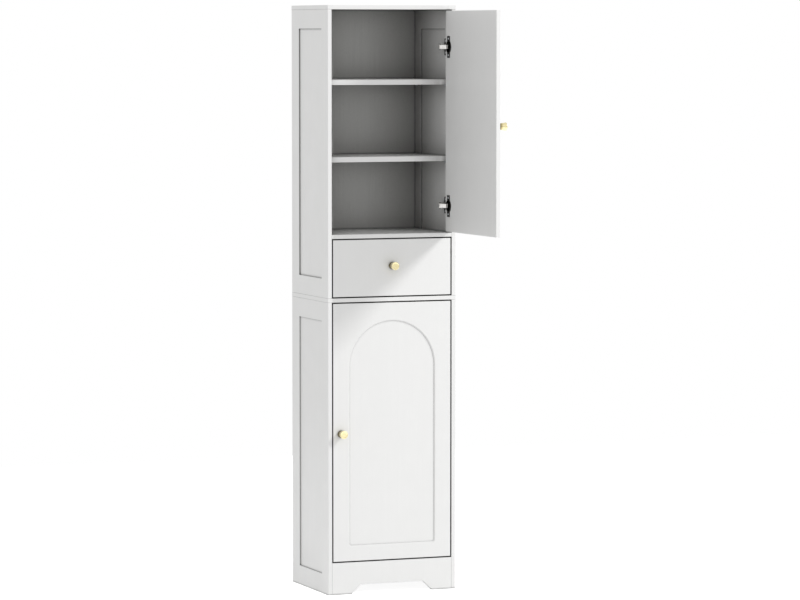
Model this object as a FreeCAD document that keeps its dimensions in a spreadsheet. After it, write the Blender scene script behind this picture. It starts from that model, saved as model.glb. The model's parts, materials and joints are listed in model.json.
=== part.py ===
import FreeCAD, Part
import math
import os
import re

import Sketcher

# A tall bathroom cabinet: an upper case with two shelves behind a hinged door, a drawer under
# it, and a lower case with one shelf behind a second door.  Millimetres, +Z up, front towards
# -Y.  The origin is on the floor, at the front left corner of the left side.  The upper door is
# modelled standing open, the lower door and the drawer shut.

SIZES = {
    # the case
    "width": 395,
    "depth": 305,
    "height": 1700,
    "board": 12,
    "middle_level": 859,
    "roof_level": 1042,
    "floor_level": 93,
    "edge_round": 0.8,
    # frames of the four sides, with a thin panel in each
    "front_stile": 53,
    "rear_stile": 62,
    "rail": 55,
    "foot_rail": 57,
    "infill": 5,
    "tongue": 6,
    "slip": 0.1,
    # back panels, in grooves of the side frames
    "back_panel": 5,
    "back_inset": 11,
    "rear_plinth_lift": 25,
    # front plinth with its two feet
    "foot_width": 60,
    "foot_slope": 29,
    "foot_lift": 27,
    # shelves and the pins under them
    "shelf_board": 15,
    "shelf_setback": 25,
    "shelf_slack": 0.5,
    "high_shelf_level": 1486,
    "low_shelf_level": 1264,
    "lower_shelf_level": 470,
    "shelf_pin": 5,
    "shelf_pin_grip": 8,
    "shelf_pin_reach": 8,
    "shelf_pin_front": 38,
    "shelf_pin_rear": 40,
    # dowels that join the boards and the sides
    "dowel": 8,
    "dowel_length": 40,
    "dowel_grip": 8,
    "dowel_inset": 36,
    # fronts
    "reveal": 3.6,
    "arch_margin": 50.9,
    "arch_top_margin": 53.4,
    "arch_foot_margin": 45.7,
    "arch_sink": 4,
    "arch_corner": 6,
    "arch_bevel": 3.3,
    "open_angle": 91,
    # knobs and the studs that hold them
    "knob_foot": 20,
    "knob_face": 24,
    "knob_length": 28,
    "knob_round": 1.2,
    "knob_edge_distance": 23.4,
    "upper_knob_level": 1357,
    "drawer_knob_level": 950,
    "lower_knob_level": 467,
    "stud": 4,
    "stud_sink": 9,
    "stud_reach": 15,
    # concealed hinges, measured from the side's inner face and from the front plane
    "hinge_drop": 104.4,
    "hinge_rise": 74.4,
    "swing_inset": 6,
    "cup_edge_distance": 3.4,
    "cup": 35,
    "cup_sink": 9.9,
    "cup_wall": 0.8,
    "cup_flange_tall": 62,
    "cup_flange_wide": 19,
    "cup_ring": 37,
    "cup_screw_spread": 48,
    "cup_boss_inset": 9.8,
    "cup_boss_sink": 8.6,
    "cup_boss_wide": 3.1,
    "cup_boss_spread": 12.5,
    "cup_pin_inset": 11.3,
    "cup_pin_sink": 10.2,
    "cup_pin": 2,
    "cup_pin_tall": 18,
    "link_knee_inset": 13.2,
    "link_knee_sink": 5.6,
    "link_end_inset": 33.7,
    "link_end_sink": 8.5,
    "link_wall": 1.8,
    "link_eye": 3.6,
    "link_tall": 11.5,
    "link_end_gap": 0.3,
    "link_ratio": 1.4666,
    "pin_gap": 0.05,
    "arm_tall": 14.5,
    "arm_wall": 1.2,
    "arm_base": 5,
    "arm_top": 11,
    "arm_rear": 74,
    "arm_bend": 38,
    "arm_head_inset": 29,
    "arm_head_sink": 17,
    "arm_ear": 4.8,
    "arm_ear_sink": 5.8,
    "plate_line": 44,
    "plate_tall": 48,
    "plate_wing": 20,
    "plate_wall": 1.2,
    "plate_block_front": 38,
    "plate_block_rear": 70,
    "plate_screw_spread": 34,
    "screw": 3,
    "screw_grip": 9,
    "screw_head": 6,
    "screw_head_tall": 1.4,
    # drawer box, which ends short of the back panel
    "drawer_rear_gap": 27,
    "drawer_side_tall": 120,
    "drawer_base": 5,
    "drawer_base_lift": 8,
    "drawer_front_groove": 5,
    # roller runners of the drawer, measured from the side's inner face
    "runner_gap": 12.5,
    "runner_level": 868,
    "runner_setback": 14,
    "runner_wall": 1,
    "runner_track": 11,
    "runner_lip": 5,
    "runner_play": 0.8,
    "runner_grip": 12,
    "runner_flange_gap": 1,
    "runner_screw_lift": 7,
    "runner_screw_inset": 40,
    "roller": 14,
    "roller_wide": 6.5,
    "roller_gap": 0.3,
    "roller_inset": 10,
    "roller_pin": 5,
    "roller_pin_head": 8,
    "roller_pin_head_wall": 0.8,
}

doc = FreeCAD.newDocument("cabinet")
sheet = doc.addObject("Spreadsheet::Sheet", "Sizes")
for row, (alias, size) in enumerate(SIZES.items(), start=1):
    sheet.set(f"A{row}", alias)
    sheet.set(f"B{row}", str(size))
    sheet.setAlias(f"B{row}", alias)
doc.recompute()

parts = []

# Places that several pieces share, as formulas of the sizes.
INNER_WIDTH = "(width - 2 * board)"
INNER_HALF = "(width / 2 - board)"
FRONT = "(-depth / 2)"
LOWER_TOP = "(middle_level - board)"
UPPER_TOP = "(height - board)"
UPPER_TALL = "(height - board - middle_level)"
ROOF_UNDERSIDE = "(roof_level - board)"
FLOOR_UNDERSIDE = "(floor_level - board)"
BACK_FACE = "(depth - back_inset - back_panel)"
DRAWER_LENGTH = f"({BACK_FACE} - drawer_rear_gap - board)"
FRONT_WIDTH = "(width - 2 * board - 2 * reveal)"
DRAWER_FRONT_LEVEL = "(middle_level + reveal)"
DRAWER_FRONT_TALL = "(roof_level - board - middle_level - 2 * reveal)"
UPPER_DOOR_LEVEL = "(roof_level + reveal)"
UPPER_DOOR_TALL = "(height - board - roof_level - 2 * reveal)"
LOWER_DOOR_LEVEL = "(floor_level + reveal)"
LOWER_DOOR_TALL = "(middle_level - board - floor_level - 2 * reveal)"
CUP_LINE = "(reveal + cup_edge_distance + cup / 2)"
DOWEL_LINES = ("dowel_inset", "depth - dowel_inset")
DOWEL_HOLE = "dowel + 2 * slip"
SCREW_HOLE = "screw + 2 * slip"


# ---- formulas and places ---------------------------------------------------------------------


def on_sheet(formula):
    """The formula with each size in it named as a cell of the sheet."""
    return re.sub(r"[a-z_]+", lambda word: "Sizes." + word.group(0), formula)


def number(formula):
    return float(sheet.evalExpression(formula))


def near(value, formula):
    return abs(value - number(formula)) < 0.01


def turn(axis, angle, x="0", y="0", z="0"):
    """A placement that turns by an angle about an axis through a point."""
    rotation = f"create(<<rotation>>; create(<<vector>>; {axis}); {on_sheet(angle)})"
    centre = f"create(<<vector>>; {on_sheet(x)}; {on_sheet(y)}; {on_sheet(z)})"
    return f"create(<<placement>>; create(<<vector>>; 0; 0; 0); {rotation}; {centre})"


def shift(x, y, z):
    """A placement that moves to x, y, z without turning."""
    spot = f"create(<<vector>>; {on_sheet(x)}; {on_sheet(y)}; {on_sheet(z)})"
    return f"create(<<placement>>; {spot}; create(<<rotation>>; create(<<vector>>; 0; 0; 1); 0))"


# The pieces are laid out about the middle of the cabinet's footprint.
FROM_CORNER = shift("width / 2", "depth / 2", "0")


def bind_placement(thing, *steps):
    """Binds a Placement to the sizes: the last step is done first."""
    thing.setExpression("Placement", " * ".join(steps))


def place(piece, *steps):
    bind_placement(piece, FROM_CORNER, *steps)


def hinge_point(inset, sink):
    """A point seen from above, measured as the hinges are, in the cabinet's X and Y."""
    return f"{INNER_HALF} - {inset}", f"{FRONT} + {sink}"


DOOR_OPEN = turn("0; 0; 1", "open_angle", *hinge_point("swing_inset", "0"))
LINK_PIN = hinge_point("cup_pin_inset", "cup_pin_sink")
LINK_OPEN = turn("0; 0; 1", "-link_ratio * open_angle", *LINK_PIN)


# ---- sketches and features -------------------------------------------------------------------


def new_body(label):
    body = doc.addObject("PartDesign::Body", label)
    body.Label = label
    parts.append(body)
    return body


def new_sketch(body, plane, lift="0"):
    """A sketch on one of the body's own planes, lifted along the plane's normal."""
    sketch = body.newObject("Sketcher::SketchObject", body.Label + "_sketch")
    support = next(f for f in body.Origin.OriginFeatures if f.Role == plane)
    sketch.AttachmentSupport = (support, [""])
    sketch.MapMode = "FlatFace"
    sketch.setExpression("AttachmentOffset.Base.z", on_sheet(lift))
    return sketch


def fix(sketch, geometry, end, x, y):
    """Holds one point of the sketch at x, y from the sketch's origin."""
    for kind, axis, formula in (("DistanceX", -2, x), ("DistanceY", -1, y)):
        if formula == "0":
            sketch.addConstraint(Sketcher.Constraint("PointOnObject", geometry, end, axis))
            continue
        held = Sketcher.Constraint(kind, -1, 1, geometry, end, number(formula))
        index = sketch.addConstraint(held)
        sketch.setExpression(f"Constraints[{index}]", on_sheet(formula))


def draw_outline(sketch, corners):
    """A closed outline of straight lines through the corners."""
    spots = [FreeCAD.Vector(number(x), number(y), 0) for x, y in corners]
    for i, spot in enumerate(spots):
        sketch.addGeometry(Part.LineSegment(spot, spots[(i + 1) % len(spots)]))
    first = sketch.GeometryCount - len(spots)
    for i, (x, y) in enumerate(corners):
        before = first + (i - 1) % len(spots)
        sketch.addConstraint(Sketcher.Constraint("Coincident", before, 2, first + i, 1))
        fix(sketch, first + i, 1, x, y)


def draw_rectangle(sketch, left, bottom, wide, tall):
    right = wide if left == "0" else f"{left} + ({wide})"
    top = tall if bottom == "0" else f"{bottom} + ({tall})"
    draw_outline(sketch, [(left, bottom), (right, bottom), (right, top), (left, top)])


def draw_circle(sketch, x, y, diameter):
    centre = FreeCAD.Vector(number(x), number(y), 0)
    circle = Part.Circle(centre, FreeCAD.Vector(0, 0, 1), number(diameter) / 2)
    geometry = sketch.addGeometry(circle)
    fix(sketch, geometry, 3, x, y)
    held = Sketcher.Constraint("Diameter", geometry, number(diameter))
    index = sketch.addConstraint(held)
    sketch.setExpression(f"Constraints[{index}]", on_sheet(diameter))


def draw_arch(sketch, left, bottom, wide, tall):
    """An upright opening whose top is a half round."""
    half = f"({wide}) / 2"
    middle_x = f"{left} + {half}"
    spring = f"{bottom} + {tall} - {half}"
    low, high = number(bottom), number(spring)
    near_side, far_side = number(left), number(left) + number(wide)
    corners = [(near_side, high), (near_side, low), (far_side, low), (far_side, high)]
    spots = [FreeCAD.Vector(x, y, 0) for x, y in corners]
    for start, end in zip(spots, spots[1:]):
        sketch.addGeometry(Part.LineSegment(start, end))
    centre = FreeCAD.Vector(number(middle_x), high, 0)
    circle = Part.Circle(centre, FreeCAD.Vector(0, 0, 1), number(half))
    sketch.addGeometry(Part.ArcOfCircle(circle, 0, math.pi))
    down, base, rise, bow = range(4)
    for held in (
        ("Coincident", down, 2, base, 1),
        ("Coincident", base, 2, rise, 1),
        ("Tangent", rise, 2, bow, 1),
        ("Tangent", bow, 2, down, 1),
        ("Vertical", down),
        ("Horizontal", base),
    ):
        sketch.addConstraint(Sketcher.Constraint(*held))
    fix(sketch, base, 1, left, bottom)
    fix(sketch, bow, 3, middle_x, spring)


def extrude(body, kind, sketch, length, reverse=False, both_ways=False):
    """Pads or pockets a sketch, and makes sure that it changed the solid."""
    before = body.Tip.Shape.Volume if body.Tip else 0.0
    feature = body.newObject("PartDesign::" + kind, body.Label + "_" + kind.lower())
    feature.Profile = sketch
    feature.Reversed = reverse
    if both_ways:
        feature.SideType = "Symmetric"
    feature.setExpression("Length", on_sheet(length))
    doc.recompute([feature])
    change = feature.Shape.Volume - before
    if (change <= 0) == (kind == "Pad"):
        raise ValueError(f"{feature.Name} changes {body.Label} by {change:.3f} cubic mm")


def pad(body, sketch, length, **options):
    extrude(body, "Pad", sketch, length, **options)


def pocket(body, sketch, length, **options):
    extrude(body, "Pocket", sketch, length, **options)


def dress_edges(body, kind, measure, size, wanted):
    """Cuts back those edges of the body whose middle point is wanted."""
    doc.recompute()
    base = body.Tip
    names = []
    for i, edge in enumerate(base.Shape.Edges, start=1):
        if wanted(edge.valueAt((edge.FirstParameter + edge.LastParameter) / 2)):
            names.append(f"Edge{i}")
    dressing = body.newObject("PartDesign::" + kind, f"{body.Label}_{kind.lower()}")
    dressing.Base = (base, names)
    dressing.setExpression(measure, on_sheet(size))
    doc.recompute([dressing])


def round_edges(body, radius, wanted):
    dress_edges(body, "Fillet", "Radius", radius, wanted)


def bevel_edges(body, size, wanted):
    dress_edges(body, "Chamfer", "Size", size, wanted)


# ---- plain boards ----------------------------------------------------------------------------


def make_board(label, wide, deep, thick, x, y, z):
    """A flat board: its near left lower corner is at x, y, z."""
    body = new_body(label)
    sketch = new_sketch(body, "XY_Plane")
    draw_rectangle(sketch, "0", "0", wide, deep)
    pad(body, sketch, thick)
    place(body, shift(x, y, z))
    return body


def on_front(middle):
    return abs(middle.y) < 0.01


def half_up(middle):
    return near(middle.z, "board / 2")


def make_case_board(label, z):
    """A board that covers the whole case, with round edges all the way about."""
    body = make_board(label, "width", "depth", "board", "-width / 2", FRONT, z)
    round_edges(body, "edge_round", lambda middle: not half_up(middle))
    return body


def bore_for_dowels(board, depth):
    """Holes for the dowels, from the board's underside."""
    sockets = new_sketch(board, "XY_Plane")
    for x in ("board / 2", "width - board / 2"):
        for y in DOWEL_LINES:
            draw_circle(sockets, x, y, DOWEL_HOLE)
    pocket(board, sockets, depth, reverse=True)


top_board = make_case_board("top_board", UPPER_TOP)
bore_for_dowels(top_board, "dowel_grip + slip")
middle_board = make_case_board("middle_board", LOWER_TOP)
bore_for_dowels(middle_board, "board")

drawer_roof = make_board(
    "drawer_roof", INNER_WIDTH, BACK_FACE, "board", "-" + INNER_HALF, FRONT, ROOF_UNDERSIDE
)
round_edges(drawer_roof, "edge_round", lambda middle: on_front(middle) and not half_up(middle))
make_board(
    "floor_board",
    INNER_WIDTH,
    BACK_FACE + " - board",
    "board",
    "-" + INNER_HALF,
    FRONT + " + board",
    FLOOR_UNDERSIDE,
)
make_board(
    "rear_plinth",
    INNER_WIDTH,
    "board",
    FLOOR_UNDERSIDE + " - rear_plinth_lift",
    "-" + INNER_HALF,
    f"{FRONT} + {BACK_FACE} - board",
    "rear_plinth_lift",
)

for label, level in (
    ("high_shelf", "high_shelf_level"),
    ("low_shelf", "low_shelf_level"),
    ("lower_shelf", "lower_shelf_level"),
):
    shelf = make_board(
        label,
        INNER_WIDTH + " - 2 * shelf_slack",
        BACK_FACE + " - shelf_setback - shelf_slack",
        "shelf_board",
        "-" + INNER_HALF + " + shelf_slack",
        FRONT + " + shelf_setback",
        level + " - shelf_board",
    )
    round_edges(shelf, "edge_round", on_front)

for label, level, top in (
    ("upper_back_panel", "middle_level", UPPER_TOP),
    ("lower_back_panel", "rear_plinth_lift", LOWER_TOP),
):
    make_board(
        label,
        INNER_WIDTH + " + 2 * tongue",
        "back_panel",
        f"{top} - {level}",
        "-" + INNER_HALF + " - tongue",
        f"{FRONT} + {BACK_FACE}",
        level,
    )

# The front plinth stands between the sides on two feet, with a sloped cut-out between them.
front_plinth = new_body("front_plinth")
plinth_outline = new_sketch(front_plinth, "XZ_Plane")
draw_outline(
    plinth_outline,
    [
        ("0", "0"),
        ("foot_width", "0"),
        ("foot_width + foot_slope", "foot_lift"),
        (INNER_WIDTH + " - foot_width - foot_slope", "foot_lift"),
        (INNER_WIDTH + " - foot_width", "0"),
        (INNER_WIDTH, "0"),
        (INNER_WIDTH, "floor_level"),
        ("0", "floor_level"),
    ],
)
pad(front_plinth, plinth_outline, "board", reverse=True)
round_edges(front_plinth, "edge_round", on_front)
place(front_plinth, shift("-" + INNER_HALF, FRONT, "0"))


# ---- framed sides ----------------------------------------------------------------------------


def hinge_levels(door_level, door_tall):
    """Heights of a door's two hinges."""
    return f"{door_level} + hinge_rise", f"{door_level} + {door_tall} - hinge_drop"


UPPER_HINGES = hinge_levels(UPPER_DOOR_LEVEL, UPPER_DOOR_TALL)
LOWER_HINGES = hinge_levels(LOWER_DOOR_LEVEL, LOWER_DOOR_TALL)
SHELF_PIN_LINES = ("shelf_pin_front", "depth - shelf_pin_rear")
RUNNER_SCREW_LINES = (
    "runner_setback + runner_screw_inset",
    f"runner_setback + {DRAWER_LENGTH} - runner_screw_inset",
)
RUNNER_SCREW_LEVEL = "runner_level + runner_screw_lift"


def shelf_pin_level(shelf_level):
    return f"{shelf_level} - shelf_board - shelf_pin / 2 - slip"


def make_side(name, hand, level, tall, bottom_rail, shelves, plates, dowel_ends, runner):
    """One side: a frame of two stiles and two rails, and the thin panel that it holds."""
    outer_x = "-width / 2" if hand == "left" else INNER_HALF
    inner_face = "board" if hand == "left" else "0"
    from_right = hand == "right"

    frame = new_body(f"{name}_{hand}_frame")
    outline = new_sketch(frame, "YZ_Plane")
    draw_rectangle(outline, "0", "0", "depth", tall)
    pad(frame, outline, "board")
    # a fine groove shows where a board meets the frame, and the foot on the floor stays square
    on_floor = name == "lower"
    round_edges(frame, "edge_round", lambda middle: not (on_floor and abs(middle.z) < 0.01))

    window_wide = "depth - front_stile - rear_stile"
    window_tall = f"{tall} - rail - {bottom_rail}"
    window = new_sketch(frame, "YZ_Plane")
    draw_rectangle(window, "front_stile", bottom_rail, window_wide, window_tall)
    pocket(frame, window, "board", reverse=True)

    groove = new_sketch(frame, "YZ_Plane", "board / 2")
    draw_rectangle(
        groove,
        "front_stile - tongue - slip",
        f"{bottom_rail} - tongue - slip",
        f"{window_wide} + 2 * tongue + 2 * slip",
        f"{window_tall} + 2 * tongue + 2 * slip",
    )
    pocket(frame, groove, "infill + 2 * slip", both_ways=True)

    back_groove = new_sketch(frame, "YZ_Plane", inner_face)
    draw_rectangle(back_groove, BACK_FACE + " - slip", "0", "back_panel + 2 * slip", tall)
    pocket(frame, back_groove, "tongue + slip", reverse=from_right)

    pin_holes = new_sketch(frame, "YZ_Plane", inner_face)
    for shelf in shelves:
        for line in SHELF_PIN_LINES:
            height = f"{shelf_pin_level(shelf)} - {level}"
            draw_circle(pin_holes, line, height, "shelf_pin + 2 * slip")
    pocket(frame, pin_holes, "shelf_pin_grip + slip", reverse=from_right)

    for lift, depth, reverse in dowel_ends:
        sockets = new_sketch(frame, "XY_Plane", lift)
        for line in DOWEL_LINES:
            draw_circle(sockets, "board / 2", line, DOWEL_HOLE)
        pocket(frame, sockets, depth + " + slip", reverse=reverse)

    screws = [("plate_line", f"{p} {s} plate_screw_spread / 2") for p in plates for s in "-+"]
    if runner:
        screws += [(line, RUNNER_SCREW_LEVEL) for line in RUNNER_SCREW_LINES]
    if screws:
        pilots = new_sketch(frame, "YZ_Plane", inner_face)
        for line, height in screws:
            draw_circle(pilots, line, f"{height} - {level}", SCREW_HOLE)
        pocket(frame, pilots, "screw_grip + slip", reverse=from_right)
    place(frame, shift(outer_x, FRONT, level))

    infill = new_body(f"{name}_{hand}_infill")
    outline = new_sketch(infill, "YZ_Plane")
    draw_rectangle(
        outline, "0", "0", f"{window_wide} + 2 * tongue", f"{window_tall} + 2 * tongue"
    )
    pad(infill, outline, "infill")
    place(
        infill,
        shift(
            f"{outer_x} + board / 2 - infill / 2",
            FRONT + " + front_stile - tongue",
            f"{level} + {bottom_rail} - tongue",
        ),
    )


# A dowel goes through the middle board, and ends equally deep in the sides over and under it.
THROUGH_SINK = "(dowel_length - board) / 2"
TOP_SINK = "(dowel_length - dowel_grip)"
for hand in ("left", "right"):
    carries = hand == "right"
    make_side(
        "upper",
        hand,
        "middle_level",
        UPPER_TALL,
        "rail",
        ("high_shelf_level", "low_shelf_level"),
        UPPER_HINGES if carries else (),
        [("0", THROUGH_SINK, True), (UPPER_TALL, TOP_SINK, False)],
        runner=True,
    )
    make_side(
        "lower",
        hand,
        "0",
        LOWER_TOP,
        "foot_rail",
        ("lower_shelf_level",),
        LOWER_HINGES if carries else (),
        [(LOWER_TOP, THROUGH_SINK, False)],
        runner=False,
    )


# ---- doors and drawer front ------------------------------------------------------------------


def make_front(label, level, tall, knob_x, knob_level, *swings):
    """An inset front with round outer edges and a blind hole for the stud of its knob."""
    body = new_body(label)
    outline = new_sketch(body, "XZ_Plane")
    draw_rectangle(outline, "0", "0", FRONT_WIDTH, tall)
    pad(body, outline, "board", reverse=True)
    round_edges(body, "edge_round", on_front)
    hole = new_sketch(body, "XZ_Plane")
    draw_circle(hole, knob_x, f"{knob_level} - {level}", "stud + 2 * slip")
    pocket(body, hole, "stud_sink + slip")
    place(body, *swings, shift(f"-{FRONT_WIDTH} / 2", FRONT, level))
    return body


def make_door(label, level, tall, knob_level, *swings):
    """A door with an arched sunk panel outside, and bores for its hinge cups inside."""
    body = make_front(label, level, tall, "knob_edge_distance", knob_level, *swings)
    arch = new_sketch(body, "XZ_Plane")
    draw_arch(
        arch,
        "arch_margin",
        "arch_foot_margin",
        FRONT_WIDTH + " - 2 * arch_margin",
        f"{tall} - arch_top_margin - arch_foot_margin",
    )
    pocket(body, arch, "arch_sink")

    def arch_foot_corner(middle):
        return near(middle.y, "arch_sink / 2") and near(middle.z, "arch_foot_margin")

    def on_arch_rim(middle):
        within = number("arch_margin") - 0.01 < middle.x < number(FRONT_WIDTH + " - arch_margin") + 0.01
        over_foot = middle.z > number("arch_foot_margin") - 0.01
        under_top = middle.z < number(f"{tall} - arch_top_margin") + 0.01
        return on_front(middle) and within and over_foot and under_top

    round_edges(body, "arch_corner", arch_foot_corner)
    bevel_edges(body, "arch_bevel", on_arch_rim)

    cup_x = f"{FRONT_WIDTH} + reveal - {CUP_LINE}"
    bores = new_sketch(body, "XZ_Plane", "-board")
    pilots = new_sketch(body, "XZ_Plane", "-board")
    for hinge in hinge_levels(level, tall):
        draw_circle(bores, cup_x, f"{hinge} - {level}", "cup + 2 * slip")
        for side in "-+":
            height = f"{hinge} {side} cup_screw_spread / 2 - {level}"
            draw_circle(pilots, cup_x, height, SCREW_HOLE)
    pocket(body, bores, "cup_sink + slip", reverse=True)
    pocket(body, pilots, "screw_grip + slip", reverse=True)


make_door("upper_door", UPPER_DOOR_LEVEL, UPPER_DOOR_TALL, "upper_knob_level", DOOR_OPEN)
make_door("lower_door", LOWER_DOOR_LEVEL, LOWER_DOOR_TALL, "lower_knob_level")
drawer_front = make_front(
    "drawer_front",
    DRAWER_FRONT_LEVEL,
    DRAWER_FRONT_TALL,
    FRONT_WIDTH + " / 2",
    "drawer_knob_level",
)


# ---- knobs, and the studs that hold them -----------------------------------------------------


def make_knob(label, x, z, *swings):
    """A solid flared knob with a blind bore in its foot, turned about a line along Y."""
    knob = new_body(label)
    profile = new_sketch(knob, "XY_Plane")
    draw_outline(
        profile,
        [
            ("stud / 2 + slip", "0"),
            ("knob_foot / 2", "0"),
            ("knob_face / 2", "-knob_length"),
            ("0", "-knob_length"),
            ("0", "-stud_reach - slip"),
            ("stud / 2 + slip", "-stud_reach - slip"),
        ],
    )
    turned = knob.newObject("PartDesign::Revolution", label + "_turned")
    turned.Profile = profile
    turned.ReferenceAxis = (profile, ["V_Axis"])
    turned.Angle = 360

    def on_face_rim(middle):
        return near(middle.y, "-knob_length") and math.hypot(middle.x, middle.z) > 1

    round_edges(knob, "knob_round", on_face_rim)
    place(knob, *swings, shift(x, FRONT, z))

    stud = new_cylinder(label + "_stud", "stud", "stud_sink + stud_reach")
    place(stud, *swings, shift(x, FRONT + " + stud_sink", z), TOWARDS["-Y"])
    parts.append(stud)


# ---- fasteners -------------------------------------------------------------------------------

# A cylinder stands along its own +Z: these turn it to lie along another direction.
TOWARDS = {
    "+X": turn("0; 1; 0", "90"),
    "-X": turn("0; 1; 0", "-90"),
    "+Y": turn("1; 0; 0", "-90"),
    "-Y": turn("1; 0; 0", "90"),
    "+Z": turn("0; 0; 1", "0"),
}
OPPOSITE = {"+X": "-X", "-X": "+X", "-Y": "+Y"}


def new_cylinder(label, diameter, length):
    rod = doc.addObject("Part::Cylinder", label)
    rod.Label = label
    rod.setExpression("Radius", on_sheet(f"({diameter}) / 2"))
    rod.setExpression("Height", on_sheet(length))
    return rod


def make_group(label, members, *swings):
    """One node of like fasteners, each a solid of its own."""
    group = doc.addObject("Part::Compound", label)
    group.Label = label
    group.Links = members
    place(group, *swings)
    parts.append(group)


def make_rods(label, diameter, length, spots, direction):
    """Plain rods, each starting at its spot."""
    rods = []
    for x, y, z in spots:
        rod = new_cylinder(label + "_rod", diameter, length)
        bind_placement(rod, shift(x, y, z), TOWARDS[direction])
        rods.append(rod)
    make_group(label, rods)


def make_screws(label, spots, *swings):
    """Screws: each spot is where the head seats, and the direction that the screw points."""
    screws = []
    for x, y, z, direction in spots:
        shank = new_cylinder(label + "_shank", "screw", "screw_grip")
        bind_placement(shank, shift(x, y, z), TOWARDS[direction])
        head = new_cylinder(label + "_head", "screw_head", "screw_head_tall")
        bind_placement(head, shift(x, y, z), TOWARDS[OPPOSITE[direction]])
        screw = doc.addObject("Part::Fuse", label + "_screw")
        screw.Base = shank
        screw.Tool = head
        screws.append(screw)
    make_group(label, screws, *swings)


DOOR_KNOB_X = f"-{FRONT_WIDTH} / 2 + knob_edge_distance"
make_knob("upper_door_knob", DOOR_KNOB_X, "upper_knob_level", DOOR_OPEN)
make_knob("lower_door_knob", DOOR_KNOB_X, "lower_knob_level")
make_knob("drawer_knob", "0", "drawer_knob_level")

# Shelf pins run across from each side's inner face, into the side and under the shelf.
SHELF_PIN_STARTS = (f"-{INNER_HALF} - shelf_pin_grip", f"{INNER_HALF} - shelf_pin_reach")
make_rods(
    "shelf_pins",
    "shelf_pin",
    "shelf_pin_grip + shelf_pin_reach",
    [
        (x, f"{FRONT} + {line}", shelf_pin_level(shelf))
        for x in SHELF_PIN_STARTS
        for line in SHELF_PIN_LINES
        for shelf in ("high_shelf_level", "low_shelf_level", "lower_shelf_level")
    ],
    "+X",
)
make_rods(
    "case_dowels",
    "dowel",
    "dowel_length",
    [
        (x, f"{FRONT} + {line}", z)
        for x in ("-width / 2 + board / 2", "width / 2 - board / 2")
        for line in DOWEL_LINES
        for z in (f"{LOWER_TOP} - {THROUGH_SINK}", f"{UPPER_TOP} - {TOP_SINK}")
    ],
    "+Z",
)


# ---- concealed hinges ------------------------------------------------------------------------
# A hinge is drawn as seen from above: x runs from the side's inner face into the case, y from
# the front plane to the back.  Its pieces are even about the hinge's own height, and are
# turned over to stand against the right-hand side.


def seat_hinge(body, level, *swings):
    place(body, *swings, shift(INNER_HALF, FRONT, level), turn("0; 1; 0", "180"))


def make_plate(label, level):
    """The mounting plate: two wings with screw holes, and a block that carries the arm."""
    body = new_body(label)
    wings = new_sketch(body, "YZ_Plane")
    draw_rectangle(
        wings, "plate_line - plate_wing / 2", "-plate_tall / 2", "plate_wing", "plate_tall"
    )
    pad(body, wings, "plate_wall")
    block = new_sketch(body, "YZ_Plane")
    draw_rectangle(
        block,
        "plate_block_front",
        "-arm_tall / 2",
        "plate_block_rear - plate_block_front",
        "arm_tall",
    )
    pad(body, block, "arm_base")
    holes = new_sketch(body, "YZ_Plane")
    for side in ("-", ""):
        draw_circle(holes, "plate_line", side + "plate_screw_spread / 2", SCREW_HOLE)
    pocket(body, holes, "plate_wall", reverse=True)
    seat_hinge(body, level)


def make_arm(label, level):
    """The arm: a steel channel, cranked in at the front to two ears."""
    body = new_body(label)
    outline = new_sketch(body, "XY_Plane")
    draw_outline(
        outline,
        [
            ("arm_base", "arm_rear"),
            ("arm_top", "arm_rear"),
            ("arm_top", "arm_bend"),
            ("arm_head_inset", "arm_head_sink"),
            ("link_end_inset + arm_ear", "link_end_sink + arm_ear"),
            ("link_end_inset + arm_ear", "arm_ear_sink"),
            ("arm_head_inset", "arm_ear_sink"),
            ("arm_head_inset - arm_ear", "arm_head_sink - 2 * arm_wall"),
            ("arm_base", "arm_bend - 2 * arm_wall"),
        ],
    )
    pad(body, outline, "arm_tall", both_ways=True)
    hollow = new_sketch(body, "XY_Plane")
    past_ears = "link_end_inset + 2 * arm_ear"
    draw_outline(
        hollow,
        [
            ("slip", "arm_rear + arm_wall"),
            ("arm_top - arm_wall", "arm_rear + arm_wall"),
            ("arm_top - arm_wall", "arm_bend"),
            ("arm_head_inset - arm_wall", "arm_head_sink"),
            (past_ears, "arm_head_sink"),
            (past_ears, "slip"),
            ("slip", "slip"),
        ],
    )
    pocket(body, hollow, "arm_tall - 2 * arm_wall", both_ways=True)
    seat_hinge(body, level)


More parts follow.
